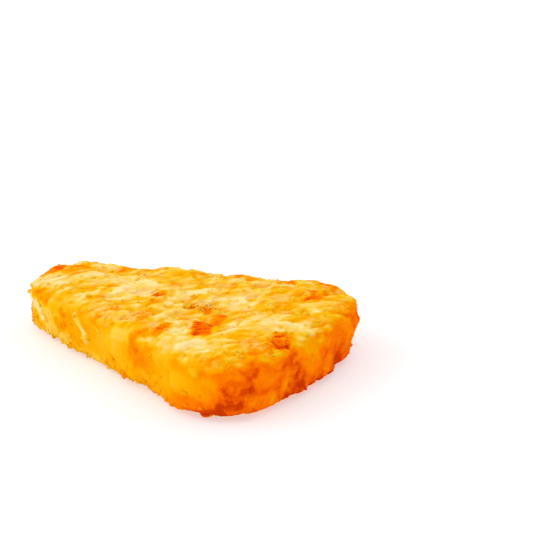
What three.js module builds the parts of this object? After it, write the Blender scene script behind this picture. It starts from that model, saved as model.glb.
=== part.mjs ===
// A triangular hash brown: grated potato pressed into a wedge with round corners, then fried.
// Millimetres, +Z up. The origin is the middle of the underside, the narrow tip points to -X and
// the wide base faces +X.
import * as THREE from "three";
import { ImprovedNoise } from "three/addons/math/ImprovedNoise.js";
import { mergeVertices } from "three/addons/utils/BufferGeometryUtils.js";

// The pressed wedge, from above and from the side
const LENGTH = 91;
const WIDTH = 62.5;
const THICKNESS = 14.6;
const TIP_RADIUS = 13.3;
const RIGHT_RADIUS = 17.4;
const LEFT_RADIUS = 15;
const TOP_EDGE_RADIUS = 2.6;
const BOTTOM_EDGE_RADIUS = 3.2;
const SIDE_LEAN = 1; // how far the side has come in where it meets the bottom edge

// The mesh: an icosphere of this detail is wrapped onto the wedge
const SPHERE_DETAIL = 20;
const SIDE_SHARE = 0.18; // of the way from the middle of the top to the middle of the underside
const MIDDLE_TO_BASE = 39;

// Shreds of potato that show in the crust, and the crevices between them
const SHREDS = { count: 320, length: [7, 18], width: [4.6, 7.6], height: [0.7, 1.9], seed: 28 };
const CREVICE_DEPTH = 0.9;
const UNDERSIDE_CREVICE_DEPTH = 1.2; // the tallest shreds were pressed flat there
const UNDERSIDE_START = 0.6; // where the surface's normal points down by this much
const RESTING_SPOT = { radius: 9, border: 4 }; // in the middle of the underside no crevice is open

// Slow waves over the whole crust
const WAVE = { length: 21, height: 0.75 };

// Where the potato was pressed unevenly: how wide each lump is, and how far it stands out
const LUMPS = [
  { x: 44, y: 8, z: 2, spread: 15, out: 1.8 }, // the base bellies out low down
  { x: 44, y: 12, z: 2, spread: 7, out: -0.5 }, // a hollow in that belly
  { x: 42, y: 24, z: 3, spread: 8, out: -2.4 }, // under the left corner
  { x: 30, y: -29, z: 6, spread: 12, out: 1.3 }, // right corner
  { x: -22, y: -14, z: 1, spread: 11, out: 2.2 }, // foot of the right side, near the tip
  { x: -20, y: -17, z: 2, spread: 6, out: -0.9 }, // a hollow in that foot
  { x: -44, y: -5, z: 15, spread: 8, out: -1.7 }, // the tip droops
  { x: -36, y: 8, z: 14, spread: 8, out: -0.8 }, // top edge of the left side, at the tip
  { x: -23, y: 13, z: 14, spread: 10, out: -1.5 }, // and farther along
  { x: 17, y: 25, z: 14, spread: 7, out: -0.9 }, // and past its middle
  { x: -16, y: 0, z: 15, spread: 14, out: 0.6 }, // swell of the top
];

// Counter-clockwise from the tip
const TIP = { x: TIP_RADIUS - LENGTH / 2, y: 0, radius: TIP_RADIUS };
const RIGHT = { x: LENGTH / 2 - RIGHT_RADIUS, y: RIGHT_RADIUS - WIDTH / 2, radius: RIGHT_RADIUS };
const LEFT = { x: LENGTH / 2 - LEFT_RADIUS, y: WIDTH / 2 - LEFT_RADIUS, radius: LEFT_RADIUS };
const MIDDLE = new THREE.Vector2(LENGTH / 2 - MIDDLE_TO_BASE, 0);

// Angle of the outward normal of the straight side that touches two corner circles
function sideNormal(from, to) {
  const along = Math.atan2(to.y - from.y, to.x - from.x);
  const apart = Math.hypot(to.x - from.x, to.y - from.y);
  return along - Math.acos((from.radius - to.radius) / apart);
}

// The wedge from above: three corner arcs, which the path joins with straight sides
function wedgeOutline() {
  const outline = new THREE.Path();
  const arc = ({ x, y, radius }, start, end) => outline.absarc(x, y, radius, start, end, false);
  arc(TIP, Math.PI, sideNormal(TIP, RIGHT));
  arc(RIGHT, sideNormal(TIP, RIGHT), sideNormal(RIGHT, LEFT));
  arc(LEFT, sideNormal(RIGHT, LEFT), sideNormal(LEFT, TIP));
  arc(TIP, sideNormal(LEFT, TIP), Math.PI);
  return outline;
}

// The side from top to bottom: x is the distance out from the outline, y the height
function sideProfile() {
  const profile = new THREE.Path();
  const top = THICKNESS - TOP_EDGE_RADIUS;
  profile.absarc(-TOP_EDGE_RADIUS, top, TOP_EDGE_RADIUS, Math.PI / 2, 0, true);
  const foot = -BOTTOM_EDGE_RADIUS - SIDE_LEAN;
  profile.absarc(foot, BOTTOM_EDGE_RADIUS, BOTTOM_EDGE_RADIUS, 0, -Math.PI / 2, true);
  return profile;
}

// Wraps a unit sphere onto the smooth wedge: each meridian runs out over the top, down the side
// and back in under the wedge
function smoothWedge() {
  const outline = wedgeOutline();
  const profile = sideProfile();
  const capShare = (1 - SIDE_SHARE) / 2;

  const sphere = new THREE.IcosahedronGeometry(1, SPHERE_DETAIL);
  sphere.deleteAttribute("normal");
  sphere.deleteAttribute("uv");
  const wedge = mergeVertices(sphere);
  const position = wedge.getAttribute("position");
  const point = new THREE.Vector3();
  for (let i = 0; i < position.count; i += 1) {
    point.fromBufferAttribute(position, i);
    const round = (Math.atan2(point.y, point.x) + Math.PI) / (2 * Math.PI);
    const down = Math.acos(THREE.MathUtils.clamp(point.z, -1, 1)) / Math.PI;
    const side = THREE.MathUtils.clamp((down - capShare) / SIDE_SHARE, 0, 1);
    const edge = profile.getPointAt(side);
    const tangent = outline.getTangentAt(round);
    const rim = outline.getPointAt(round);
    rim.add(new THREE.Vector2(tangent.y, -tangent.x).multiplyScalar(edge.x));
    const inwards = 1 - Math.min(down, 1 - down, capShare) / capShare;
    rim.lerp(MIDDLE, inwards);
    position.setXYZ(i, rim.x, rim.y, edge.y);
  }
  wedge.computeVertexNormals();
  return wedge;
}

function between([low, high]) {
  return THREE.MathUtils.lerp(low, high, THREE.MathUtils.seededRandom());
}

// Shreds lie along the crust, each centred on some vertex and turned at random
function scatterShreds(wedge) {
  const position = wedge.getAttribute("position");
  const normals = wedge.getAttribute("normal");
  const shreds = [];
  THREE.MathUtils.seededRandom(SHREDS.seed);
  for (let n = 0; n < SHREDS.count; n += 1) {
    const vertex = Math.floor(THREE.MathUtils.seededRandom() * position.count);
    const centre = new THREE.Vector3().fromBufferAttribute(position, vertex);
    const normal = new THREE.Vector3().fromBufferAttribute(normals, vertex);
    const reach = new THREE.Vector3(between([-1, 1]), between([-1, 1]), between([-1, 1]));
    reach.projectOnPlane(normal).setLength(between(SHREDS.length) / 2);
    shreds.push({
      line: new THREE.Line3(centre.clone().sub(reach), centre.clone().add(reach)),
      halfWidth: between(SHREDS.width) / 2,
      height: between(SHREDS.height),
    });
  }
  return shreds;
}

// Height of the tallest shred over a point, each with a round back
function shredHeight(point, shreds) {
  const nearest = new THREE.Vector3();
  let height = 0;
  for (const shred of shreds) {
    shred.line.closestPointToPoint(point, true, nearest);
    const across = nearest.distanceTo(point) / shred.halfWidth;
    if (across < 1) height = Math.max(height, shred.height * (1 - across ** 2));
  }
  return height;
}

function lumpHeight(point) {
  return LUMPS.reduce((sum, { x, y, z, spread, out }) => {
    const far = Math.hypot(point.x - x, point.y - y, point.z - z) / spread;
    return sum + out * Math.exp(-(far ** 2));
  }, 0);
}

function waveHeight(point) {
  const { x, y, z } = point.clone().divideScalar(WAVE.length);
  return WAVE.height * new ImprovedNoise().noise(x, y, z);
}

// Raises the crust into shreds and lumps, and presses the underside flat
function fryCrust(wedge) {
  const position = wedge.getAttribute("position");
  const normals = wedge.getAttribute("normal");
  const shreds = scatterShreds(wedge);
  const point = new THREE.Vector3();
  const normal = new THREE.Vector3();
  for (let i = 0; i < position.count; i += 1) {
    point.fromBufferAttribute(position, i);
    normal.fromBufferAttribute(normals, i);
    const facesDown = THREE.MathUtils.smoothstep(-normal.z, UNDERSIDE_START, 1);
    const depth = THREE.MathUtils.lerp(CREVICE_DEPTH, UNDERSIDE_CREVICE_DEPTH, facesDown);
    const fromSpot = Math.hypot(point.x, point.y) - RESTING_SPOT.radius;
    const offSpot = THREE.MathUtils.smoothstep(fromSpot, 0, RESTING_SPOT.border);
    let out = shredHeight(point, shreds) - depth;
    out += (lumpHeight(point) + waveHeight(point)) * (1 - facesDown);
    out *= THREE.MathUtils.lerp(1, offSpot, facesDown);
    point.addScaledVector(normal, out);
    position.setXYZ(i, point.x, point.y, Math.max(point.z, 0));
  }
}

// Puts the origin in the middle of the underside
function standOnOrigin(geometry) {
  geometry.computeBoundingBox();
  const { min, max } = geometry.boundingBox;
  geometry.translate(-(min.x + max.x) / 2, -(min.y + max.y) / 2, -min.z);
}

function hashBrown() {
  const geometry = smoothWedge();
  fryCrust(geometry);
  standOnOrigin(geometry);
  geometry.computeVertexNormals();
  const friedPotato = new THREE.MeshStandardMaterial({ color: "#f0a835", roughness: 0.65, metalness: 0 });
  const mesh = new THREE.Mesh(geometry, friedPotato);
  mesh.name = "hash_brown";
  return mesh;
}

const part = new THREE.Group();
part.add(hashBrown());

export default part;
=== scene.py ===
import math
import random

import bmesh
import bpy
import numpy as np
from mathutils import Matrix, Vector, noise
from mathutils.bvhtree import BVHTree


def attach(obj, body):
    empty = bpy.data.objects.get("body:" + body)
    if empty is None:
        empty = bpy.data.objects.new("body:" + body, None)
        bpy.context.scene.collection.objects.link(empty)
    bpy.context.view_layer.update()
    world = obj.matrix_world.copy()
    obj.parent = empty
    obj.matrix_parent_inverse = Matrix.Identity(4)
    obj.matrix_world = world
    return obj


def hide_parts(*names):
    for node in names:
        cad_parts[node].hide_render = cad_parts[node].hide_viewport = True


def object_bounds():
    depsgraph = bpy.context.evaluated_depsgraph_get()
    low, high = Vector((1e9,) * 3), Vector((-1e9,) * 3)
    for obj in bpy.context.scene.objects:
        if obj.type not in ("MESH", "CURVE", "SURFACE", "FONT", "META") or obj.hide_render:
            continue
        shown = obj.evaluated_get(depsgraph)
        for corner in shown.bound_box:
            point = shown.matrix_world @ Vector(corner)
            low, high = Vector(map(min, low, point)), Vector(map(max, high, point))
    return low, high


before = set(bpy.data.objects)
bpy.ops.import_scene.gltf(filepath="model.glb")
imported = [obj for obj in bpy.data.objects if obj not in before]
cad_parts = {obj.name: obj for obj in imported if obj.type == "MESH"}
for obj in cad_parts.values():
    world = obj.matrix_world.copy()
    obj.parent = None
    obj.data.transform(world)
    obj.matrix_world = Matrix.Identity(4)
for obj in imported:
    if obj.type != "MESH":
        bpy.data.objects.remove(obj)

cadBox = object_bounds()
mm = 0.001


# camera, floor and lights

studio = {
    "cameraPlace": (151.0 * mm, -194.2 * mm, 104.5 * mm),
    "cameraHeading": 31.5,  # degrees, anticlockwise from +Y
    "cameraTilt": -19.0,  # degrees, below level is negative
    "lens": 65.45,
    "sensorWidth": 36.0,
    "clip": (0.01, 100.0),
    "floorSize": 8.0,
    "floorColour": (0.62, 0.62, 0.62),
    "floorRoughness": 0.9,
    "floorGlow": 0.4,  # light that the floor gives off itself
    "skyStrength": 1.0,
    "keyPower": 2.4,
    "keySize": 0.7,
    "keyPlace": (-0.7, -0.45, 0.7),
    "fillPower": 0.05,
    "fillSize": 1.0,
    "fillPlace": (0.3, -0.9, 0.5),
}


def meshPiece(name, bm):
    mesh = bpy.data.meshes.new(name)
    bm.to_mesh(mesh)
    bm.free()
    piece = bpy.data.objects.new(name, mesh)
    bpy.context.scene.collection.objects.link(piece)
    return piece


def addCamera():
    data = bpy.data.cameras.new("camera")
    data.lens = studio["lens"]
    data.sensor_width = studio["sensorWidth"]
    data.clip_start, data.clip_end = studio["clip"]
    camera = bpy.data.objects.new("camera", data)
    camera.location = studio["cameraPlace"]
    fromStraightDown = math.radians(90 + studio["cameraTilt"])
    camera.rotation_euler = (fromStraightDown, 0, math.radians(studio["cameraHeading"]))
    bpy.context.scene.collection.objects.link(camera)
    bpy.context.scene.camera = camera


def addSoftLight(name, place, size, power):
    data = bpy.data.lights.new(name, "AREA")
    data.shape = "DISK"
    data.size = size
    data.energy = power
    light = bpy.data.objects.new(name, data)
    light.location = place
    light.rotation_euler = (-light.location).to_track_quat("-Z", "Y").to_euler()
    bpy.context.scene.collection.objects.link(light)


def addSky():
    world = bpy.data.worlds.new("studio")
    world.use_nodes = True
    background = world.node_tree.nodes["Background"]
    background.inputs["Color"].default_value = (1, 1, 1, 1)
    background.inputs["Strength"].default_value = studio["skyStrength"]
    bpy.context.scene.world = world


def addFloor():
    bm = bmesh.new()
    bmesh.ops.create_grid(bm, x_segments=1, y_segments=1, size=studio["floorSize"] / 2)
    floor = meshPiece("floor", bm)
    paint = bpy.data.materials.new("floor_paint")
    paint.use_nodes = True
    shader = paint.node_tree.nodes["Principled BSDF"]
    shader.inputs["Base Color"].default_value = (*studio["floorColour"], 1)
    shader.inputs["Roughness"].default_value = studio["floorRoughness"]
    shader.inputs["Specular IOR Level"].default_value = 0.0
    shader.inputs["Emission Color"].default_value = (1, 1, 1, 1)
    shader.inputs["Emission Strength"].default_value = studio["floorGlow"]
    floor.data.materials.append(paint)


addCamera()
addSky()
addSoftLight("key", studio["keyPlace"], studio["keySize"], studio["keyPower"])
addSoftLight("fill", studio["fillPlace"], studio["fillSize"], studio["fillPower"])
addFloor()
bpy.context.scene.view_settings.view_transform = "Standard"
print("camera, floor and lights set")


# shader helpers: sums on sockets are written as sums

class Wire:
    def __init__(self, finish, socket):
        self.finish = finish
        self.socket = socket

    def __add__(self, other):
        return self.finish.maths("ADD", self, other)

    __radd__ = __add__

    def __sub__(self, other):
        return self.finish.maths("SUBTRACT", self, other)

    def __rsub__(self, other):
        return self.finish.maths("SUBTRACT", other, self)

    def __mul__(self, other):
        return self.finish.maths("MULTIPLY", self, other)

    __rmul__ = __mul__

    def __pow__(self, other):
        return self.finish.maths("POWER", self, other)


class Finish:
    def __init__(self, name):
        self.material = bpy.data.materials.new(name)
        self.material.use_nodes = True
        self.tree = self.material.node_tree
        self.shader = self.tree.nodes["Principled BSDF"]

    def node(self, kind, settings, inputs, output=0):
        made = self.tree.nodes.new(kind)
        for key, value in settings.items():
            if key == "stops":
                self.setStops(made.color_ramp, value)
            else:
                setattr(made, key, value)
        for key, value in inputs.items():
            self.plug(made.inputs[key], value)
        return Wire(self, made.outputs[output])

    def setStops(self, ramp, stops):
        while len(ramp.elements) < len(stops):
            ramp.elements.new(0.5)
        for element, (place, colour) in zip(ramp.elements, stops):
            element.position = place
            element.color = (*colour, 1)

    def plug(self, socket, value):
        if isinstance(value, Wire):
            self.tree.links.new(value.socket, socket)
        else:
            socket.default_value = value

    def maths(self, operation, *values):
        return self.node("ShaderNodeMath", {"operation": operation}, dict(enumerate(values)))

    def step(self, value, low, high):  # smooth, from 0 at low to 1 at high
        return self.node(
            "ShaderNodeMapRange",
            {"interpolation_type": "SMOOTHSTEP"},
            {"Value": value, "From Min": low, "From Max": high},
        )

    def mix(self, factor, first, second, way):
        settings = {"data_type": "RGBA", "blend_type": way}
        return self.node("ShaderNodeMix", settings, {0: factor, 6: first, 7: second}, output=2)

    def cloud(self, place, size, detail, roughness=0.5, distortion=0.0):  # noise around zero
        inputs = {
            "Vector": place,
            "Scale": 1 / size,
            "Detail": detail,
            "Roughness": roughness,
            "Distortion": distortion,
        }
        return self.node("ShaderNodeTexNoise", {}, inputs) - 0.5

    def kept(self, name):  # a number kept on each vertex
        return self.node("ShaderNodeAttribute", {"attribute_name": name}, {}, output=2)

    def objectPlace(self):
        return self.node("ShaderNodeTexCoord", {}, {}, output=3)

    def axis(self, place, which):  # 0 is X, 2 is Z
        return self.node("ShaderNodeSeparateXYZ", {}, {"Vector": place}, output=which)


def linear(red, green, blue):  # from screen values, 0 to 255
    def one(value):
        value /= 255
        return value / 12.92 if value <= 0.04045 else ((value + 0.055) / 1.055) ** 2.4
    return (one(red), one(green), one(blue))


# the crust: larger lumps from the frame, with shreds, fibres and a fine grain raised on them

crust = {
    "merge": 0.005 * mm,  # corners of the frame's facets that are closer than this become one
    "settle": 1,  # passes that soften the frame's facets
    "voxel": 0.368 * mm,
    "relax": 4,  # passes that soften the remeshed surface
    "smoothing": 0.5,  # how far each of those passes goes
    "inset": 0.55 * mm,  # room inside the frame's box for the shreds
    "wallInset": -0.15 * mm,
    "room": 0.25 * mm,  # kept free at the box's faces for small pieces
    "floorGap": 0.1 * mm,  # the crust ends this far above the floor
    "level": 0.75,  # a normal more upright than this belongs to the top or the underside
    "faceShreds": 560,
    "wallShreds": 130,
    "shredStep": 1.5 * mm,
    "faceLength": (4 * mm, 15 * mm),
    "wallLength": (3 * mm, 9 * mm),
    "width": (1.4 * mm, 3.6 * mm),
    "faceReach": 0.5,  # share of the width to either side
    "wallReach": 0.65,
    "thickness": (0.2 * mm, 0.6 * mm),
    "layer": (-0.1 * mm, 0.5 * mm),
    "dive": 0.35 * mm,  # spread of how much deeper one end lies
    "wallFlatness": 0.45,  # wall shreds stand this much as high as face shreds
    "heading": (60, 26),  # degrees from +X: middle and spread
    "climb": 0.6,  # spread of the heading's rise
    "kink": 0.06,  # spread of the turn at each step, in radians
    "curl": 0.07,  # spread of the turn that a shred keeps up
    "wobble": ((2.2 * mm, 0.6 * mm), (1.0 * mm, 0.35 * mm)),  # size and shift of waves in a shred's edge
    "flatTop": 0.95 * mm,  # shreds pressed by the mould rise less above this
    "pressed": 0.75,  # share of the height above it that is lost
    "lump": (6.0 * mm, 0.5 * mm),  # size and height of the lumps in the walls
    "faceLumps": 0.25,  # share of their height on the faces
    "fibres": 1700,  # thin streaks on the shreds of the faces
    "fibreLength": (2 * mm, 8 * mm),
    "fibreWidth": (0.9 * mm, 1.7 * mm),
    "fibreHeight": (0.08 * mm, 0.26 * mm),
    "fibreCurl": 0.05,
    "grain": ((1.3 * mm, 0.14 * mm), (0.65 * mm, 0.12 * mm)),  # size and height of the fine grain
    "wallFade": (0.3, 0.5),  # full where the blurred normal is this upright, and gone this much above it
    "rimFade": (0.95, 0.2),  # none where the blurred normal is this upright, and full this much below it
    "wallPasses": 12,  # how often each of these is blurred
    "rimPasses": 50,
    "heightPasses": 1,
    "aroundPasses": 40,
    "proudPasses": 2,
    "tonePasses": 4,
    "edgePasses": 1,
    "stretchReach": 1.3,  # a listed stretch is gone at this many times its reach
    "stretchFade": 2.2,  # how steeply it fades there
    "seed": 11,
    "noiseSeed": 1,  # without one, noise_vector changes from run to run
}

# shreds that catch the eye, in mm: path, width, height, and how done they are (below 0 is paler)
placedShreds = [
    {"path": [(22.8, -19.8, 15), (18.8, -14, 15), (20.5, -12.8, 15), (24.2, -18.8, 15), (22.8, -19.8, 15)],
     "width": 3.0, "height": 0.7, "tone": 3.6},
    {"path": [(22, -12, 15), (20, -6, 15)], "width": 3.0, "height": 0.6, "tone": 2.2},
    {"path": [(38.6, -9.6, 15), (40.4, -8.8, 14.5), (41.6, -12, 14.3), (39.8, -13.4, 15), (38.6, -9.6, 15)],
     "width": 2.8, "height": 0.5, "tone": 2.6},
    {"path": [(-15.5, -19.4, 13), (-13.8, -19.8, 11), (-13, -19.2, 9.2), (-12.2, -19.4, 7.3),
              (-11.4, -19.8, 5.7)],
     "width": 1.2, "height": 0.8, "tone": -3.5},
    {"path": [(30, -32, 12.2), (30.5, -32, 12.2)], "width": 2.2, "height": 1.0, "tone": -4.5},
    {"path": [(-38, -11.2, 11.4), (-37.4, -11.6, 10.6)], "width": 2.4, "height": 0.7, "tone": -7.0},
    {"path": [(-33.8, -12.7, 8.2), (-32.8, -13, 7.4)], "width": 2.8, "height": 0.7, "tone": -8.0},
    {"path": [(-7, -21, 11.2), (-5.2, -21.4, 10.4)], "width": 1.6, "height": 0.5, "tone": -3.0},
    {"path": [(-38, -9, 15), (-33, -4, 15)], "width": 2.8, "height": 1.0, "tone": -2.6},
    {"path": [(-30, -9, 15), (-30, -3, 15), (-27, 3, 15)], "width": 3.2, "height": 1.0, "tone": -2.4},
    {"path": [(7, -26, 12), (14, -28, 10)], "width": 6.4, "height": 0.6, "tone": 1.6},
    {"path": [(34, -29, 15), (38, -24, 15), (41, -18, 15)], "width": 1.8, "height": 0.9, "tone": -1.0},
    {"path": [(37, 25.5, 14), (39, 25, 14)], "width": 2.4, "height": 0.8, "tone": -2.0},
]

# creases that open the crust, in mm: path, width and depth
creases = [
    {"path": [(11, -22, 14), (10, -18, 14), (10, -14.5, 14)], "width": 1.6, "depth": 0.6},
    {"path": [(41.5, -11, 15), (43.5, -12, 12), (44, -12.5, 9), (43.5, -12.5, 5)],
     "width": 2.2, "depth": 0.5},
    {"path": [(0, -8, 15), (-1, -2, 15)], "width": 1.4, "depth": 0.4},
]

# stretches that are more done, in mm: from, to, reach and by how much
toasted = [
    ((-42, -1, 14), (-42, 3, 14), 2.0, 0.22),  # tip, far edge
    ((-43, 4.5, 14), (-33, 6.5, 14.5), 2.3, 0.20),
    ((-42.4, 5.6, 13.8), (-40.6, 5.6, 13.8), 1.6, 0.15),
    ((-26, 12, 13.5), (-23.5, 12.5, 13.5), 1.7, 0.21),
    ((-33, -1.5, 15), (-29, 0.5, 15), 1.7, 0.28),
    ((-34, -12.5, 13), (-29.5, -14.5, 13), 1.8, 0.22),  # tip, near side
    ((-22.5, -17, 11.5), (-22, -17.2, 11), 1.1, 0.16),
    ((-23.5, -17.5, 8), (-22.5, -17.5, 7.5), 1.6, 0.20),
    ((-39, -9.5, 11.8), (-37, -11.2, 11.5), 1.8, 0.10),
    ((-41, 0, 14.5), (-36, 1, 14.5), 2.0, 0.12),
    ((1.5, -8, 15.5), (0, -3, 15), 2.0, 0.28),  # top
    ((-3.5, -6.5, 15), (-2.5, -1, 15), 1.8, 0.32),
    ((-3, 2, 15), (-1, 7, 15), 3.0, 0.06),
    ((-11.5, 7.2, 15.5), (-4, 5.5, 15), 2.1, 0.18),
    ((-14.2, -9, 15.5), (-15.6, -4, 15), 1.8, 0.34),
    ((-13, -12.5, 16), (-14.5, -14.5, 16), 1.6, 0.18),
    ((-9, -12.2, 15.4), (-11.5, -13.4, 15.4), 1.5, 0.14),
    ((-7, -18.8, 14.8), (-5.5, -16.5, 15), 1.8, 0.28),
    ((-8, -20.2, 13.8), (-4.5, -21.4, 13.2), 1.8, 0.13),
    ((2, -16, 15), (3, -13.5, 15), 1.8, 0.22),
    ((6.5, -18, 15), (8.5, -20, 15), 1.6, 0.20),
    ((14, -24, 15), (12.3, -18.5, 15), 1.5, 0.34),
    ((10.3, -22, 15), (12, -22, 15), 1.4, 0.14),
    ((8, -24, 14), (10, -22, 14), 1.8, 0.14),
    ((12, -6.2, 15), (14, -4.2, 15), 2.1, 0.29),
    ((15, 0, 14), (16.5, 2.5, 14), 1.2, 0.16),
    ((16, -2.2, 14.5), (17, 0.3, 14), 1.6, 0.16),
    ((20, -4.5, 14), (22, 0.5, 14), 1.8, 0.18),
    ((12.5, -9.5, 15), (15, -14, 15), 1.6, 0.22),
    ((23.2, -18.6, 15), (19.9, -13.6, 15), 2.4, 0.21),
    ((22, -12, 15), (20, -6, 15), 1.6, 0.22),
    ((25, -17, 15), (25, -13, 15), 1.6, 0.32),
    ((31, -20, 15), (33, -16, 15), 2.0, 0.12),
    ((37.5, -19.5, 15), (36.5, -16, 15), 1.6, 0.06),
    ((25, 6.5, 15), (26, 10, 15), 1.3, 0.16),
    ((29, 7.5, 15.5), (32, 8, 15.5), 2.0, 0.22),
    ((28, 18.5, 15), (31, 20, 15), 1.8, 0.16),
    ((34, 15.5, 15.5), (34.5, 21.3, 15.2), 2.4, 0.36),
    ((0, 11.5, 14.5), (2, 13.5, 14.6), 1.8, 0.18),
    ((3.5, 20.5, 14.5), (6.5, 21.5, 14.5), 1.5, 0.20),
    ((19.4, 25, 14.5), (21.2, 24.7, 14.5), 1.9, 0.45),
    ((30, 28.5, 14.5), (32, 29, 14.5), 1.8, 0.32),
    ((43, -22, 14), (44, -15, 14), 3.5, 0.10),
    ((32, -29.3, 14.6), (34.5, -27.8, 15), 1.3, 0.15),
    ((22.6, -29, 14.6), (24, -28.6, 14.6), 1.2, 0.13),
    ((38, -23.8, 14.6), (39.5, -22.5, 14.4), 1.6, 0.16),
    ((36, -28, 14.5), (40, -25, 14), 3.5, 0.05),
    ((8, -26, 12.5), (9, -26.5, 11.5), 2.0, 0.16),  # right side, upper edge
    ((9, -26, 9), (14, -28, 11), 3.0, 0.14),
    ((11, -26.2, 11.5), (14.5, -28, 10.5), 2.4, 0.06),
    ((39.2, -9, 15), (40.8, -12.4, 14.5), 2.6, 0.31),  # base, upper edge
    ((38, -7.4, 14.5), (39.2, -8, 14.5), 1.6, 0.22),
    ((42.3, -10, 14), (43.3, -10.5, 13.5), 1.3, 0.20),
    ((43.2, -11, 13.5), (43.9, -12.5, 11), 1.4, 0.10),
    ((42, 0, 14.5), (45, 0.5, 13.5), 1.8, 0.16),
    ((43.5, 11, 15), (44, 16, 14.5), 1.8, 0.14),
    ((38.6, -20, 15), (40.2, -17, 15), 1.8, 0.33),
    ((44, -10.5, 8), (44, -8.5, 5), 2.2, 0.15),  # base
    ((43.5, -12.5, 3), (43.5, -9, 3), 2.2, 0.16),
    ((39.8, -25, 12.6), (40.8, -24, 11.5), 1.5, 0.12),
    ((38, -27.5, 8.5), (40, -25, 8.5), 2.2, 0.18),
    ((36, -29, 4.5), (39, -26, 4.5), 1.4, 0.11),
    ((31, -30, 1.5), (35, -29, 2), 1.8, 0.13),
    ((34, -30.5, 7), (37, -29, 7), 2.4, 0.04),
    ((46, -1, 10), (46, 1, 8), 1.6, 0.10),
    ((44, 6, 3), (44, 9, 3), 2.2, 0.16),
    ((44, 10, 3), (44, 16, 5), 2.4, 0.04),
    ((43, 18, 15), (45, 15, 13), 2.6, 0.06),
]

# and stretches that are less done
pale = [
    ((-41, -6, 14), (-34, -4, 15), 3.0, 0.22),  # tip
    ((-38, -10, 14.5), (-31, -9.5, 15), 1.8, 0.26),
    ((-30, -11, 15), (-25, -12.5, 15), 1.6, 0.20),
    ((-30, 11, 14), (-27.5, 11, 14), 1.6, 0.18),
    ((-30, -9, 15), (-27, 3, 15), 1.8, 0.16),
    ((-22, 4, 15), (-14, 5, 15), 3.2, 0.14),
    ((-16.5, 6, 14.8), (-14, 4, 14.8), 1.5, 0.13),
    ((-22.5, -15.6, 15.5), (-18, -14.5, 15), 1.6, 0.18),
    ((-16, -2, 15), (-7, 2, 15), 5.0, 0.18),
    ((-11.5, -8, 15), (-6, -4.5, 15), 3.4, 0.25),
    ((-9, -3, 15), (-8, 0.5, 15), 1.6, 0.13),
    ((6.4, -22.6, 14.8), (6.8, -20.5, 15), 1.3, 0.15),
    ((10.5, -25.6, 14.3), (12.5, -25.2, 14.6), 1.3, 0.16),
    ((33.5, -30, 13.2), (35.5, -28.8, 13.6), 1.1, 0.14),
    ((25.6, -30.4, 14.6), (26.4, -30.4, 14.5), 1.0, 0.12),
    ((10.6, -25.8, 13), (11.8, -26.2, 12.6), 1.3, 0.13),
    ((1, -4, 15), (6, 5, 15), 2.2, 0.19),
    ((4.6, -10.5, 15), (5.2, -7, 15), 1.5, 0.20),
    ((15.5, -16, 15), (18, -21, 15), 2.2, 0.34),
    ((19, -26, 14.5), (25, -23, 15), 2.6, 0.20),
    ((25, -26, 15), (31, -21, 15), 2.8, 0.26),
    ((30.5, -26.5, 15), (33, -25, 15), 1.6, 0.18),
    ((26, -17, 15), (27, -9, 15), 2.4, 0.18),
    ((33.5, -4.6, 15), (41, -0.6, 15), 2.8, 0.22),
    ((18, 3, 15), (18, 6, 15), 2.2, 0.20),
    ((21, 5.5, 14.5), (22.6, 3, 14.3), 1.5, 0.15),
    ((24.4, -4.6, 14.8), (24.6, -2, 14.8), 1.3, 0.13),
    ((25, 26, 14), (27, 26.5, 14), 2.0, 0.14),
    ((38.5, 9, 15.5), (42.5, 10, 15.5), 1.8, 0.22),
    ((43, 2.5, 15), (43, 6, 15), 1.6, 0.14),
    ((36, 5, 15), (38, 7.5, 15), 1.6, 0.16),
    ((39.5, 22.5, 15), (41, 20.5, 15), 1.6, 0.12),
    ((12.5, 1, 14.5), (13, 4.5, 14.5), 1.5, 0.16),
    ((19, 12, 15), (21, 7, 14), 1.8, 0.14),
    ((9, 16, 15), (10, 18.5, 15), 1.5, 0.16),
    ((-21, 12, 14), (-17, 9, 14.5), 1.5, 0.14),
    ((42, -17.5, 14.3), (43, -16.5, 14), 1.2, 0.11),
    ((1, -23.5, 12.5), (5, -24.5, 13), 1.6, 0.18),
    ((-38, -11.3, 10.6), (-33.2, -12.8, 7.8), 1.8, 0.34),  # tip, near side
    ((-39.6, -10, 9.6), (-38.4, -10.8, 7.4), 1.3, 0.18),
    ((-38, -11, 8), (-30, -14.5, 8), 4.0, 0.06),
    ((-29, -14.5, 9), (-24, -17, 9), 2.0, 0.14),
    ((-15.6, -19.4, 12.8), (-13, -19.2, 9.2), 1.1, 0.16),
    ((-13, -19.2, 9.2), (-11.5, -19.6, 5.9), 1.0, 0.18),
    ((-37, -11, 3), (-34, -12.5, 2), 1.6, 0.18),
    ((-30, -15, 4), (-22, -17.5, 4), 2.6, 0.20),
    # partly painted light over the shade of the crumbs at the foot
    ((-14, -18.6, 2), (-5, -21, 1.6), 2.2, 0.16),
    ((-2, -22.5, 2.2), (1, -23.6, 2.8), 1.8, 0.12),
    ((26, -31, 9), (32, -30.5, 8), 3.0, 0.16),  # right side, lower half
    ((41, -22, 3), (42, -19, 3), 2.4, 0.16),
    ((44.5, -5, 13), (45, -2, 13), 2.8, 0.12),  # base
    ((44.6, 12, 14.2), (45, 12.6, 13.6), 1.3, 0.14),
    ((41.4, -23.2, 12.8), (42, -22.6, 12.4), 1.1, 0.10),
]

# stretches with dark specks
speckled = [
    ((10, -4, 15), (13.5, -1.5, 15), 2.4, 1.4),
    ((11, -21, 14), (10, -14, 14), 2.2, 0.5),
    ((34, -29, 2), (39, -26, 4), 4.0, 0.5),
    ((45, -14, 7), (44, -8, 4), 4.0, 0.5),
    ((44, 5, 4), (44, 14, 4), 4.0, 0.4),
    ((1, -6, 15), (-2, 0, 15), 3.0, 0.5),
]


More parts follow.
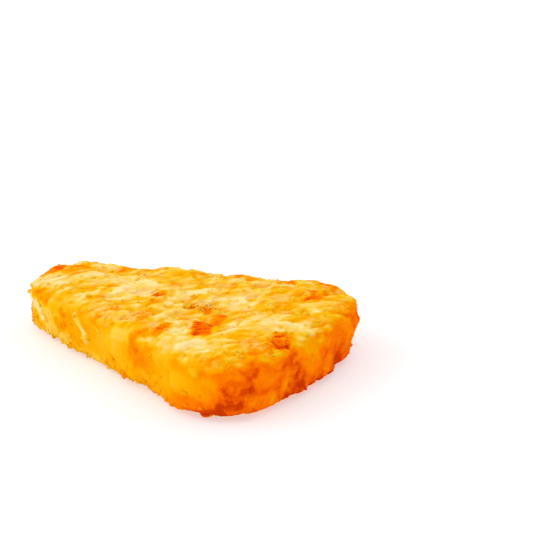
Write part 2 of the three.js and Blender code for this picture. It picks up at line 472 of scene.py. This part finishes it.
def applyModifiers(piece):
    graph = bpy.context.evaluated_depsgraph_get()
    mesh = bpy.data.meshes.new_from_object(piece.evaluated_get(graph))
    blank = piece.data
    piece.modifiers.clear()
    piece.data = mesh
    bpy.data.meshes.remove(blank)


def crustBlank():  # the frame's solid, rounded off, with even small faces
    everyAxis = {"use_axis_x": True, "use_axis_y": True, "use_axis_z": True}
    bm = bmesh.new()
    bm.from_mesh(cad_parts["hash_brown"].data)
    bmesh.ops.remove_doubles(bm, verts=bm.verts, dist=crust["merge"])
    for _ in range(crust["settle"]):
        bmesh.ops.smooth_vert(bm, verts=bm.verts, factor=crust["smoothing"], **everyAxis)
    piece = meshPiece("crust", bm)
    piece.data.materials.clear()
    rounder = piece.modifiers.new("round", "SUBSURF")
    rounder.levels = rounder.render_levels = 1
    remesh = piece.modifiers.new("remesh", "REMESH")
    remesh.mode = "VOXEL"
    remesh.voxel_size = crust["voxel"]
    remesh.use_smooth_shade = True
    relax = piece.modifiers.new("relax", "SMOOTH")
    relax.factor = crust["smoothing"]
    relax.iterations = crust["relax"]
    applyModifiers(piece)
    return piece


def vectorsOf(vertices, name):
    values = np.empty(len(vertices) * 3)
    vertices.foreach_get(name, values)
    return values.reshape(-1, 3)


class Neighbours:  # averages a number over the vertices joined to each vertex
    def __init__(self, mesh):
        edges = np.empty(len(mesh.edges) * 2, dtype=np.int64)
        mesh.edges.foreach_get("vertices", edges)
        self.a, self.b = edges.reshape(-1, 2).T
        self.count = len(mesh.vertices)
        self.ways = np.bincount(self.a, minlength=self.count) + np.bincount(self.b, minlength=self.count)

    def mean(self, values):
        total = np.bincount(self.a, values[self.b], self.count)
        total += np.bincount(self.b, values[self.a], self.count)
        return total / self.ways

    def blurred(self, values, passes):
        for _ in range(passes):
            values = 0.5 * values + 0.5 * self.mean(values)
        return values


def growShred(tree, vertex, length, curl, dice):  # a path that follows the surface
    angle = math.radians(dice.gauss(*crust["heading"]))
    heading = Vector((math.cos(angle), math.sin(angle), dice.gauss(0, crust["climb"])))
    heading = (heading - vertex.normal * heading.dot(vertex.normal)).normalized()
    bend = dice.gauss(0, curl)
    place = vertex.co.copy()
    path = [place]
    for _ in range(max(2, round(length / crust["shredStep"]))):
        hit, normal, _, _ = tree.find_nearest(place + heading * crust["shredStep"])
        heading = Matrix.Rotation(bend + dice.gauss(0, crust["kink"]), 3, normal) @ (hit - place)
        heading = (heading - normal * heading.dot(normal)).normalized()
        place = hit
        path.append(hit)
    return np.array(path)


def pickVertices(piece, dice, onFace, count):  # spread evenly over the two faces, or over the wall
    vertices = piece.data.vertices
    picked = []
    while len(picked) < count:
        vertex = vertices[dice.randrange(len(vertices))]
        if (abs(vertex.normal.z) > crust["level"]) == onFace:
            picked.append(vertex)
    return picked


def layShred(tree, vertex, lengths, reach, flatness, dice):
    return {
        "path": growShred(tree, vertex, dice.uniform(*lengths), crust["curl"], dice),
        "reach": dice.uniform(*crust["width"]) * reach,
        "thickness": dice.uniform(*crust["thickness"]) * flatness,
        "layer": dice.uniform(*crust["layer"]) * flatness,
        "dive": dice.gauss(0, crust["dive"]) * flatness,
        "tone": dice.gauss(0, 1),
    }


def layShreds(piece, tree):
    dice = random.Random(crust["seed"])
    shreds = []
    for vertex in pickVertices(piece, dice, True, crust["faceShreds"]):
        shreds.append(layShred(tree, vertex, crust["faceLength"], crust["faceReach"], 1, dice))
    flatness = crust["wallFlatness"]
    for vertex in pickVertices(piece, dice, False, crust["wallShreds"]):
        shreds.append(layShred(tree, vertex, crust["wallLength"], crust["wallReach"], flatness, dice))
    return shreds


def onSurface(tree, path):
    return np.array([tree.find_nearest(Vector(point) * mm)[0] for point in path])


def layPlacedShreds(tree):
    return [{
        "path": onSurface(tree, placed["path"]),
        "reach": placed["width"] / 2 * mm,
        "thickness": placed["height"] / 2 * mm,
        "layer": placed["height"] / 2 * mm,
        "dive": 0.0,
        "tone": placed["tone"],
        "onTop": True,
    } for placed in placedShreds]


def layFibres(piece, tree):
    dice = random.Random(crust["seed"] + 1)
    return [{
        "path": growShred(tree, vertex, dice.uniform(*crust["fibreLength"]), crust["fibreCurl"], dice),
        "reach": dice.uniform(*crust["fibreWidth"]) / 2,
        "thickness": dice.uniform(*crust["fibreHeight"]),
        "layer": 0.0,
        "dive": 0.0,
        "tone": dice.gauss(0, 1),
    } for vertex in pickVertices(piece, dice, True, crust["fibres"])]


def distanceToPath(points, path):  # and how far along the path, from 0 to 1
    best = np.full(len(points), np.inf)
    reached = np.zeros(len(points))
    for leg, (start, end) in enumerate(zip(path[:-1], path[1:])):
        along = end - start
        share = np.clip((points - start) @ along / (along @ along), 0, 1)
        away = np.linalg.norm(points - start - share[:, None] * along, axis=1)
        closer = away < best
        best[closer] = away[closer]
        reached[closer] = (leg + share[closer]) / (len(path) - 1)
    return best, reached


def pointsNear(points, path, reach):  # which, how far off as a share of the reach, and how far along
    inside = (points > path.min(0) - reach) & (points < path.max(0) + reach)
    near = np.nonzero(inside.all(1))[0]
    away, along = distanceToPath(points[near], path)
    close = away < reach
    return near[close], away[close] / reach, along[close]


def raiseShreds(points, shreds):  # the tallest shred wins at each point, or the last one placed on top
    height = np.zeros(len(points))
    tone = np.zeros(len(points))
    edge = np.ones(len(points))  # 0 along a shred's middle, 1 where it ends
    for shred in shreds:
        near, away, along = pointsNear(points, shred["path"], shred["reach"])
        raised = shred["layer"] + shred["dive"] * (along - 0.5) + shred["thickness"] * np.sqrt(1 - away ** 3)
        top = (raised > height[near]) | shred.get("onTop", False)
        height[near[top]] = np.maximum(raised[top], height[near[top]])
        tone[near[top]] = shred["tone"]
        edge[near[top]] = away[top]
    return height, tone, edge


def creaseDepth(points, tree):
    depth = np.zeros(len(points))
    for crease in creases:
        near, away, _ = pointsNear(points, onSurface(tree, crease["path"]), crease["width"] / 2 * mm)
        depth[near] = np.maximum(depth[near], crease["depth"] * mm * (1 - away ** 2))
    return depth


def noiseVectors(points, size):
    return np.array([noise.noise_vector(Vector(point) / size) for point in points])


def lumpHeight(points):  # rounded lumps with creases between them
    size, height = crust["lump"]
    nearest = np.array([noise.voronoi(Vector(point) / size)[0][0] for point in points])
    return height * (0.5 - nearest)


def grainHeight(points):
    total = np.zeros(len(points))
    for size, height in crust["grain"]:
        total += height * np.array([noise.noise(Vector(point) / size) for point in points])
    return total


def stretches(points, places):  # how much each point belongs to the listed stretches
    total = np.zeros(len(points))
    for start, end, reach, amount in places:
        near, away, _ = pointsNear(points, np.array([start, end]) * mm, crust["stretchReach"] * reach * mm)
        total[near] += amount * np.clip((1 - away) * crust["stretchFade"], 0, 1)
    return total


def insideBox(points):  # slowed down near the box's faces, but cut flat underneath, where it rests
    room = crust["room"]
    low = np.array(cadBox[0]) + 2 * room
    high = np.array(cadBox[1]) - 2 * room
    low[2] = crust["floorGap"]
    over = np.maximum(points - high, 0)
    under = np.maximum(low - points, 0)
    under[:, 2] = 0
    slowedOver = room * (1 - np.exp(-over / room))
    slowedUnder = room * (1 - np.exp(-under / room))
    return np.clip(points, low, high) + slowedOver - slowedUnder


def wallAndRim(normals, neighbours):  # 1 on the wall, and 1 around the rim of the underside
    faceUp = neighbours.blurred(np.abs(normals[:, 2]), crust["wallPasses"])
    wallFull, wallFade = crust["wallFade"]
    rimStart, rimFade = crust["rimFade"]
    wall = 1 - np.clip((faceUp - wallFull) / wallFade, 0, 1)
    rim = np.clip((rimStart - neighbours.blurred(faceUp, crust["rimPasses"])) / rimFade, 0, 1)
    return wall, rim * (normals[:, 2] < 0)


def keepLooks(mesh, looks):
    for name, values in looks.items():
        mesh.attributes.new(name, "FLOAT", "POINT").data.foreach_set("value", values.astype(np.float32))


def shapeCrust(piece, tree):
    noise.seed_set(crust["noiseSeed"])
    mesh = piece.data
    points = vectorsOf(mesh.vertices, "co")
    normals = vectorsOf(mesh.vertices, "normal")
    neighbours = Neighbours(mesh)
    wobbly = points + sum(shift * noiseVectors(points, size) for size, shift in crust["wobble"])
    height, tone, edge = raiseShreds(wobbly, layShreds(piece, tree) + layPlacedShreds(tree))
    fibreHeight, fibreTone, fibreEdge = raiseShreds(wobbly, layFibres(piece, tree))
    wall, rim = wallAndRim(normals, neighbours)
    lumpShare = crust["faceLumps"] + (1 - crust["faceLumps"]) * wall
    height -= crust["pressed"] * np.maximum(height - crust["flatTop"], 0)
    height += fibreHeight + lumpHeight(points) * lumpShare - creaseDepth(wobbly, tree)
    height = neighbours.blurred(height, crust["heightPasses"]) + grainHeight(points)
    proud = height - neighbours.blurred(height, crust["aroundPasses"])
    inset = crust["inset"] + (crust["wallInset"] - crust["inset"]) * wall
    moved = insideBox(points + normals * (height - inset)[:, None])
    mesh.vertices.foreach_set("co", moved.ravel())
    mesh.update()
    looks = {
        # height over the surroundings, which paints highlight and shade into the colour
        "proud": neighbours.blurred(proud, crust["proudPasses"]) / mm,
        "tone": neighbours.blurred(tone, crust["tonePasses"]),
        # where shreds end, which paints shade into the colour
        "edge": neighbours.blurred(edge, crust["edgePasses"]),
        "streak": fibreTone * (1 - fibreEdge ** 2),
        "toast": stretches(wobbly, toasted) - stretches(wobbly, pale),
        "flecks": stretches(wobbly, speckled),
        "wall": np.maximum(wall, rim),
    }
    keepLooks(mesh, looks)
    return looks


# how the colour runs from hardly fried to burnt
browning = [
    (0.00, linear(249, 223, 150)),
    (0.12, linear(248, 211, 110)),
    (0.24, linear(246, 198, 69)),
    (0.36, linear(243, 183, 28)),
    (0.48, linear(244, 169, 4)),
    (0.58, linear(247, 155, 0)),
    (0.67, linear(249, 141, 0)),
    (0.76, linear(249, 124, 0)),
    (0.84, linear(244, 107, 0)),
    (0.92, linear(230, 84, 0)),
    (1.00, linear(202, 59, 0)),
]

fried = {
    # clouds: size, detail, roughness, distortion
    "broad": (12 * mm, 2.0),
    "patchy": (3.6 * mm, 3.0, 0.55, 0.5),
    "speckle": (0.55 * mm, 2.0, 0.6),
    "streaky": (3.4 * mm, 4.0, 0.6, 0.8),
    "tint": (5 * mm, 3.0, 0.6, 0.8),
    "grit": (0.5 * mm, 1.0),
    "burnt": (0.9 * mm, 2.0, 0.6, 0.6),
    "grain": (0.5 * mm, 4.0, 0.7),
    "streakStretch": 2.3,  # how much longer the streaks are along the shreds
    # where things lie: not yet there, and fully there
    "baseEnd": (18 * mm, 38 * mm),  # along X
    "lowDown": (14 * mm, 1 * mm),  # heights
    "foot": (3.5 * mm, 0.8 * mm),
    "footWall": (0.0, 0.4),  # share of wall
    # how done the crust is, from 0 to 1, with painted light and shade mixed into some of the shares
    "middle": 0.46,
    # the faces, top and underside, are paler: partly their own colour, partly painted light as it falls on
    # the top
    "facesPaler": 0.13,
    "broadShare": 0.45,
    "patchyShare": 0.3,
    "streakyShare": 0.95,
    "streakShare": 0.05,
    "speckleOnFlecks": 0.3,
    # shares everywhere, and added on the wall, at the base end or on the faces
    # more done towards the base end, on the wall most: partly a browner crust, partly painted shade on the
    # walls away from the key light
    "baseOnWall": (0.06, 0.27),
    "lowAtBase": (0.08, 0.05),
    "footAtBase": (0.05, 0.08),
    "toneOnFace": (0.03, 0.05),
    # raised bits paler and hollows more done: partly dry shred tips, partly painted highlight on raised bits
    # and painted shade in hollows
    "proudOnFace": (0.10, 0.22),
    # more done where a shred ends: painted shade in the gaps between shreds
    "edgeOnFace": (0.02, 0.05),
    "speckleOnFace": (0.10, 0.09),
    "toastOnPatches": (1.0, 1.0),
    # tints laid over the browning: colour, share, and the limits between none and full of what brings them
    "peachColour": linear(247, 196, 122),
    "peachShare": 0.6,
    "peachTint": (0.0, 0.2),
    "peachDone": (0.6, 0.4),
    "peachOnFlecks": 0.1,
    "lemonColour": (1.0, 1.0, 0.05),
    "lemonTint": (0.02, -0.16),
    "lemonDone": (0.2, 0.4),
    "gritColour": (0.8, 0.5, 0.15),
    "gritShare": 0.3,
    "gritCloud": (0.14, 0.26),
    "gritPatchy": (-0.15, 0.1),
    "burntColour": linear(160, 68, 4),
    "burntShare": 0.85,
    "burntCloud": (0.12, 0.26),
    "burntPatchy": (0.35, 0.8),
    "burntOnFlecks": 0.09,
    "burntOnPatches": 1.5,
    "roughness": (0.65, 0.4),  # middle, and how much the speckle moves it
    "bumpStrength": 0.4,
    "bumpHeight": 0.25 * mm,
    "shine": 0.02,
    "ior": 1.15,
}


def graded(name, share):  # an amount that grows with the share
    everywhere, added = fried[name]
    return everywhere + added * share


def howDoneAndShaded(finish, place, patchy, speckle):
    wall = finish.kept("wall")
    face = 1 - wall
    turn = {"Rotation": (0, 0, math.radians(crust["heading"][0])), "Scale": (fried["streakStretch"], 1, 1)}
    turned = finish.node("ShaderNodeMapping", {"vector_type": "TEXTURE"}, {"Vector": place, **turn})
    broad = finish.cloud(place, *fried["broad"])
    streaky = finish.cloud(turned, *fried["streaky"])
    aboveFloor = finish.axis(place, 2)
    base = finish.step(finish.axis(place, 0), *fried["baseEnd"])
    low = finish.step(aboveFloor, *fried["lowDown"]) - 0.5
    foot = finish.step(aboveFloor, *fried["foot"]) * finish.step(wall, *fried["footWall"])
    # paler faces and browner base-end walls: partly colour, partly painted light on the top and painted
    # shade away from the key light
    doneAndShading = fried["middle"] - fried["facesPaler"] * face + base * graded("baseOnWall", wall)
    doneAndShading = doneAndShading + low * wall * graded("lowAtBase", base) + foot * graded("footAtBase", base)
    doneAndShading = doneAndShading + broad * fried["broadShare"] + patchy * fried["patchyShare"]
    doneAndShading = doneAndShading + streaky * face * fried["streakyShare"]
    doneAndShading = doneAndShading + finish.kept("tone") * graded("toneOnFace", face)
    doneAndShading = doneAndShading + finish.kept("streak") * fried["streakShare"]
    # painted highlight on raised bits and painted shade in hollows, along with paler dry shred tips
    doneAndShading = doneAndShading - finish.kept("proud") * graded("proudOnFace", face)
    # painted shade in the gaps where shreds end
    doneAndShading = doneAndShading + finish.kept("edge") ** 6 * graded("edgeOnFace", face)
    flecks = fried["speckleOnFlecks"] * finish.kept("flecks")
    doneAndShading = doneAndShading + speckle * (graded("speckleOnFace", face) + flecks)
    return doneAndShading + finish.kept("toast") * graded("toastOnPatches", patchy)


def crustColour(finish, place, patchy, doneAndShading):  # the browning, then peach, lemon, grit and burnt flecks
    face = 1 - finish.kept("wall")
    flecks = finish.kept("flecks")
    tint = finish.cloud(place, *fried["tint"])
    peach = finish.step(tint + flecks * fried["peachOnFlecks"], *fried["peachTint"])
    peach = peach * face * finish.step(doneAndShading, *fried["peachDone"])
    lemon = finish.step(tint, *fried["lemonTint"]) * finish.step(doneAndShading, *fried["lemonDone"])
    grit = finish.step(finish.cloud(place, *fried["grit"]), *fried["gritCloud"])
    grit = grit * finish.step(patchy, *fried["gritPatchy"])
    burnt = finish.cloud(place, *fried["burnt"]) + flecks * fried["burntOnFlecks"]
    burnt = finish.step(burnt, *fried["burntCloud"])
    burnt = burnt * finish.step(flecks + patchy * fried["burntOnPatches"], *fried["burntPatchy"])
    colour = finish.node("ShaderNodeValToRGB", {"stops": browning}, {"Fac": doneAndShading})
    colour = finish.mix(peach * fried["peachShare"], colour, (*fried["peachColour"], 1), "MIX")
    colour = finish.mix(lemon, colour, (*fried["lemonColour"], 1), "MULTIPLY")
    colour = finish.mix(grit * face * fried["gritShare"], colour, (*fried["gritColour"], 1), "MULTIPLY")
    return finish.mix(burnt * fried["burntShare"], colour, (*fried["burntColour"], 1), "MIX")


def crustFinish():
    finish = Finish("fried_crust")
    place = finish.objectPlace()
    patchy = finish.cloud(place, *fried["patchy"])
    speckle = finish.cloud(place, *fried["speckle"])
    doneAndShading = howDoneAndShaded(finish, place, patchy, speckle)
    grain = finish.cloud(place, *fried["grain"])
    bumps = {"Strength": fried["bumpStrength"], "Distance": fried["bumpHeight"], "Height": grain}
    finish.plug(finish.shader.inputs["Base Color"], crustColour(finish, place, patchy, doneAndShading))
    finish.plug(finish.shader.inputs["Roughness"], graded("roughness", speckle))
    finish.plug(finish.shader.inputs["Normal"], finish.node("ShaderNodeBump", {}, bumps))
    finish.shader.inputs["Specular IOR Level"].default_value = fried["shine"]
    finish.shader.inputs["IOR"].default_value = fried["ior"]
    return finish.material


def dressPiece(piece, material):
    piece.data.materials.append(material)
    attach(piece, "root")
    print(piece.name + ":", len(piece.data.polygons), "faces")


friedCrust = crustFinish()
crustPiece = crustBlank()
blankSurface = BVHTree.FromObject(crustPiece, bpy.context.evaluated_depsgraph_get())
crustLooks = shapeCrust(crustPiece, blankSurface)
crustSurface = BVHTree.FromObject(crustPiece, bpy.context.evaluated_depsgraph_get())
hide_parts("hash_brown")
dressPiece(crustPiece, friedCrust)


# small pieces that stick to the crust take over how it looks where they lie

sticking = {
    "wallLevel": 0.6,  # a normal less upright than this belongs to the wall
    "footLevel": 0.8,  # the same at the foot, which turns further under
    "rimShare": 0.2,  # the underside proper has less of the rim than this
    "tipEnd": -14 * mm,  # along X
    "baseEnd": 15 * mm,
    "footHeight": 3.5 * mm,
    "floorGap": 0.03 * mm,  # small pieces end this far above the floor
}


def onTop(vertex):
    return vertex.normal.z > crust["level"]


def underneath(vertex):
    return vertex.normal.z < -crust["level"] and crustLooks["wall"][vertex.index] < sticking["rimShare"]


def onWall(vertex):
    return abs(vertex.normal.z) < sticking["wallLevel"]


def onTip(vertex):
    return onWall(vertex) and vertex.co.x < sticking["tipEnd"]


def nearFloor(vertex):
    return vertex.co.z < sticking["footHeight"]


def atFoot(vertex):
    onFootOrWall = abs(vertex.normal.z) < sticking["footLevel"]
    return onFootOrWall and nearFloor(vertex) and vertex.co.x < sticking["baseEnd"]


def atBaseFoot(vertex):
    return onWall(vertex) and nearFloor(vertex) and vertex.co.x > sticking["baseEnd"]


def pickSpots(dice, places):  # clear of the box's faces
    vertices = crustPiece.data.vertices
    reachX, reachY, reachZ = np.array(cadBox[1]) - 2 * crust["room"]
    spots = []
    for wanted, count in places:
        found = 0
        while found < count:
            spot = dice.randrange(len(vertices))
            place = vertices[spot].co
            past = max(abs(place.x) - reachX, abs(place.y) - reachY, place.z - reachZ)
            if past < 0 and wanted(vertices[spot]):
                spots.append(spot)
                found += 1
    return spots


def ballsAt(name, spots, around, along):  # one ball for each spot, all in one mesh
    bm = bmesh.new()
    bmesh.ops.create_uvsphere(bm, u_segments=around, v_segments=along, radius=1)
    for face in bm.faces:
        face.smooth = True
    piece = meshPiece(name, bm)
    row = piece.modifiers.new("row", "ARRAY")
    row.use_relative_offset = False
    row.count = len(spots)
    applyModifiers(piece)
    return piece, vectorsOf(piece.data.vertices, "co").reshape(len(spots), -1, 3)


def squeezed(shapes):  # each shape is pressed flatter where it would leave the frame's box
    low = shapes.min(1, keepdims=True)
    high = shapes.max(1, keepdims=True)
    newLow = np.maximum(low, np.array(cadBox[0]) + (0, 0, sticking["floorGap"]))
    newHigh = np.minimum(high, cadBox[1])
    return newLow + (shapes - low) * (newHigh - newLow) / (high - low)


def finishSmallPieces(piece, shapes, tones):
    points = squeezed(shapes).reshape(-1, 3)
    piece.data.vertices.foreach_set("co", points.ravel())
    faces = crustPiece.data.polygons
    below = [faces[crustSurface.find_nearest(Vector(point))[2]].vertices[0] for point in points]
    looks = {name: values[below] for name, values in crustLooks.items()}
    looks["tone"] = np.array(tones).repeat(shapes.shape[1])
    # the small pieces carry no painted shade from shred ends or hollows, but keep the painted highlight of
    # raised bits
    looks["edge"] = np.zeros(len(points))
    looks["proud"] = np.maximum(looks["proud"], 0)
    keepLooks(piece.data, looks)
    piece.data.update()
    dressPiece(piece, friedCrust)


# crumbs of the coating

crumb = {
    "places": ((onTop, 180), (underneath, 160), (onWall, 60), (onTip, 120), (atFoot, 300), (atBaseFoot, 90)),
    "size": (0.22 * mm, 0.62 * mm),  # half of a crumb's width
    "stretch": (0.6, 1.6),
    "raggedness": 0.6,
    "variety": 50,  # how far apart the crumbs' places in the noise may be
    "sunk": 0.2,  # share of the half width
    "toneSpread": 0.8,
    "seed": 5,
}


def shapeCrumb(ball, spot, dice):
    vertex = crustPiece.data.vertices[spot]
    size = dice.uniform(*crumb["size"])
    shift = Vector([dice.uniform(-crumb["variety"], crumb["variety"]) for _ in range(3)])
    stretch = Matrix.Diagonal([dice.uniform(*crumb["stretch"]) for _ in range(3)])
    angle = dice.uniform(0, 2 * math.pi)
    axis = Vector([dice.gauss(0, 1) for _ in range(3)])
    turn = Matrix.Rotation(angle, 3, axis)
    bumps = np.array([[noise.noise(Vector(point) + shift)] for point in ball])
    ragged = ball * (1 + crumb["raggedness"] * bumps)
    middle = vertex.co - vertex.normal * size * crumb["sunk"]
    return ragged @ np.array(turn @ stretch).T * size + np.array(middle)


def makeCrumbs():
    dice = random.Random(crumb["seed"])
    spots = pickSpots(dice, crumb["places"])
    piece, balls = ballsAt("crumbs", spots, around=7, along=5)
    shapes = np.array([shapeCrumb(ball, spot, dice) for ball, spot in zip(balls, spots)])
    finishSmallPieces(piece, shapes, [dice.gauss(0, crumb["toneSpread"]) for _ in spots])


makeCrumbs()


# shreds that have come partly loose and lie on the crust

looseShred = {
    "places": ((onTop, 60), (underneath, 50), (onWall, 6), (onTip, 26)),
    "length": (1.8 * mm, 6 * mm),
    "width": (0.8 * mm, 1.8 * mm),
    "thickness": (0.4 * mm, 0.7 * mm),
    "curl": 0.12,
    "lift": 0.15 * mm,  # of the ends
    "liftSpread": (-0.5, 1.0),  # share of the lift that an end gets
    "blunt": 0.2,  # 0 leaves the ends as round as the ball's
    "bluntLimit": 0.02,  # keeps the very ends from growing without bound
    "sunk": 0.35,  # share of half the thickness
    "toneSpread": 0.7,
    "seed": 8,
}


def shapeLooseShred(ball, spot, dice):  # the ball drawn out along a path on the crust
    vertex = crustPiece.data.vertices[spot]
    path = growShred(crustSurface, vertex, dice.uniform(*looseShred["length"]), looseShred["curl"], dice)
    width = dice.uniform(*looseShred["width"]) / 2
    thickness = dice.uniform(*looseShred["thickness"]) / 2
    lift = looseShred["lift"] * dice.uniform(*looseShred["liftSpread"])
    legs = len(path) - 1
    shape = []
    for across, above, share in ball:
        along = (share + 1) / 2 * legs
        leg = min(int(along), legs - 1)
        start, end = Vector(path[leg]), Vector(path[leg + 1])
        middle = start.lerp(end, along - leg)
        up = crustSurface.find_nearest(middle)[1]
        side = up.cross(end - start).normalized()
        fullness = max(1 - share ** 2, looseShred["bluntLimit"]) ** -looseShred["blunt"]
        rise = thickness * (above * fullness - looseShred["sunk"]) + lift * share ** 2
        shape.append(middle + side * across * fullness * width + up * rise)
    return np.array(shape)


def makeLooseShreds():
    dice = random.Random(looseShred["seed"])
    spots = pickSpots(dice, looseShred["places"])
    piece, balls = ballsAt("loose_shreds", spots, around=7, along=8)
    shapes = np.array([shapeLooseShred(ball, spot, dice) for ball, spot in zip(balls, spots)])
    finishSmallPieces(piece, shapes, [dice.gauss(0, looseShred["toneSpread"]) for _ in spots])


makeLooseShreds()
